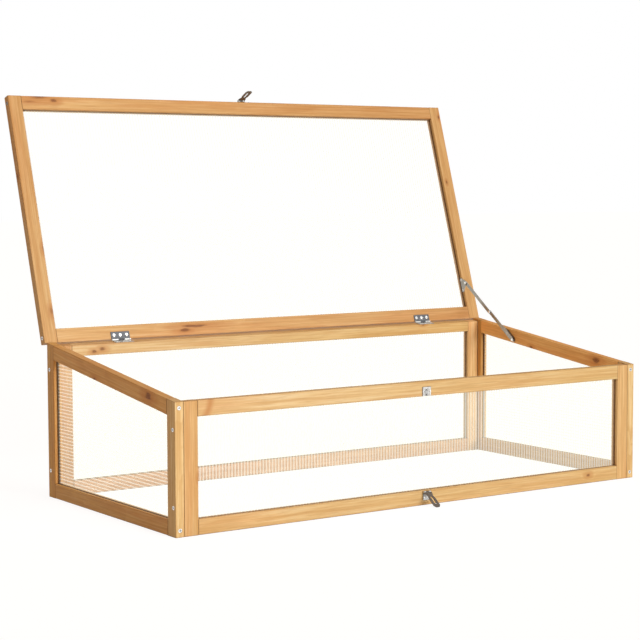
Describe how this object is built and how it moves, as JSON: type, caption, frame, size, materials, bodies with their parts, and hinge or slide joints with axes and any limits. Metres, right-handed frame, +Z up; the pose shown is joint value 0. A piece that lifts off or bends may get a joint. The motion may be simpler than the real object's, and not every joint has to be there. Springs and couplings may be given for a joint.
{
  "type": "cold frame",
  "caption": "Sloping timber cold frame with twin-wall glazing, a rear-hinged lid held open by a folding side stay, and a hasp on the lid and at the ground rail.",
  "frame": {"origin": "middle of the footprint on the ground, footprint taken with the lid open on its stay and the ground strap resting", "axes": "+Z up, front of the box towards -Y, +X to the right seen from the front; the lid hinge runs along X at the rear"},
  "size_m": [1.006, 0.6516, 0.7447],
  "materials": {
    "softwood": "planed, oiled",
    "twin_wall_sheet": "clear, ribbed",
    "bright_screw": "zinc plated",
    "zinc_plate": "zinc plated, slightly tarnished"
  },
  "bodies": {
    "base": {"front_left_stile": "softwood", "front_right_stile": "softwood", "front_top_rail": "softwood", "front_bottom_rail": "softwood", "front_sheet": "twin_wall_sheet", "rear_left_stile": "softwood", "rear_right_stile": "softwood", "rear_top_rail": "softwood", "rear_bottom_rail": "softwood", "rear_sheet": "twin_wall_sheet", "left_front_stile": "softwood", "left_rear_stile": "softwood", "left_top_rail": "softwood", "left_bottom_rail": "softwood", "left_sheet": "twin_wall_sheet", "right_front_stile": "softwood", "right_rear_stile": "softwood", "right_top_rail": "softwood", "right_bottom_rail": "softwood", "right_sheet": "twin_wall_sheet", "front_frame_screws": "bright_screw", "rear_frame_screws": "bright_screw", "left_frame_screws": "bright_screw", "right_frame_screws": "bright_screw", "left_corner_screws": "bright_screw", "right_corner_screws": "bright_screw", "left_hinge_wall_leaf": "zinc_plate", "right_hinge_wall_leaf": "zinc_plate", "left_hinge_pin": "zinc_plate", "right_hinge_pin": "zinc_plate", "hinge_wall_screws": "bright_screw", "stay_wall_bracket": "zinc_plate", "stay_lower_rivet": "zinc_plate", "stay_wall_screws": "bright_screw", "staple_plate": "zinc_plate", "staple_loop": "zinc_plate", "staple_screws": "bright_screw", "base_hasp_leaf": "zinc_plate", "base_hasp_pin": "zinc_plate", "base_hasp_screws": "bright_screw"},
    "lid": {"lid_left_stile": "softwood", "lid_right_stile": "softwood", "lid_front_rail": "softwood", "lid_rear_rail": "softwood", "lid_sheet": "twin_wall_sheet", "lid_frame_screws": "bright_screw", "left_hinge_lid_leaf": "zinc_plate", "right_hinge_lid_leaf": "zinc_plate", "hinge_lid_screws": "bright_screw", "stay_lid_bracket": "zinc_plate", "stay_upper_rivet": "zinc_plate", "stay_lid_screws": "bright_screw", "lid_hasp_leaf": "zinc_plate", "lid_hasp_pin": "zinc_plate", "lid_hasp_screws": "bright_screw"},
    "stay_upper": {"stay_upper_link": "zinc_plate", "stay_elbow_rivet": "zinc_plate"},
    "stay_lower": {"stay_lower_link": "zinc_plate"},
    "lid_hasp": {"lid_hasp_strap": "zinc_plate"},
    "base_hasp": {"base_hasp_strap": "zinc_plate"}
  },
  "joints": [
    {"name": "lid_hinge", "type": "hinge", "parent": "base", "child": "lid", "pos_m": [0, 0.16757, 0.27629], "axis": [1, 0, 0], "range_deg": [0, 115]},
    {"name": "stay_lower_pivot", "type": "hinge", "parent": "base", "child": "stay_lower", "pos_m": [0.47965, 0.03657, 0.2414], "axis": [1, 0, 0], "range_deg": [-96.71, 0]},
    {"name": "stay_upper_pivot", "type": "hinge", "parent": "lid", "child": "stay_upper", "pos_m": [0.47795, 0.18445, 0.35169], "axis": [1, 0, 0], "range_deg": [-68.41, 0]},
    {"name": "lid_hasp_hinge", "type": "hinge", "parent": "lid", "child": "lid_hasp", "pos_m": [0.002, 0.31161, 0.7263], "axis": [1, 0, 0], "range_deg": [-135, 15]},
    {"name": "base_hasp_hinge", "type": "hinge", "parent": "base", "child": "base_hasp", "pos_m": [0.002, -0.29443, 0.023], "axis": [-1, 0, 0], "range_deg": [0, 118]}
  ],
  "couplings": [
    {"joint": "stay_lower_pivot", "follows": "lid_hinge", "ratio": -0.84095},
    {"joint": "stay_upper_pivot", "follows": "lid_hinge", "ratio": -0.59486}
  ]
}
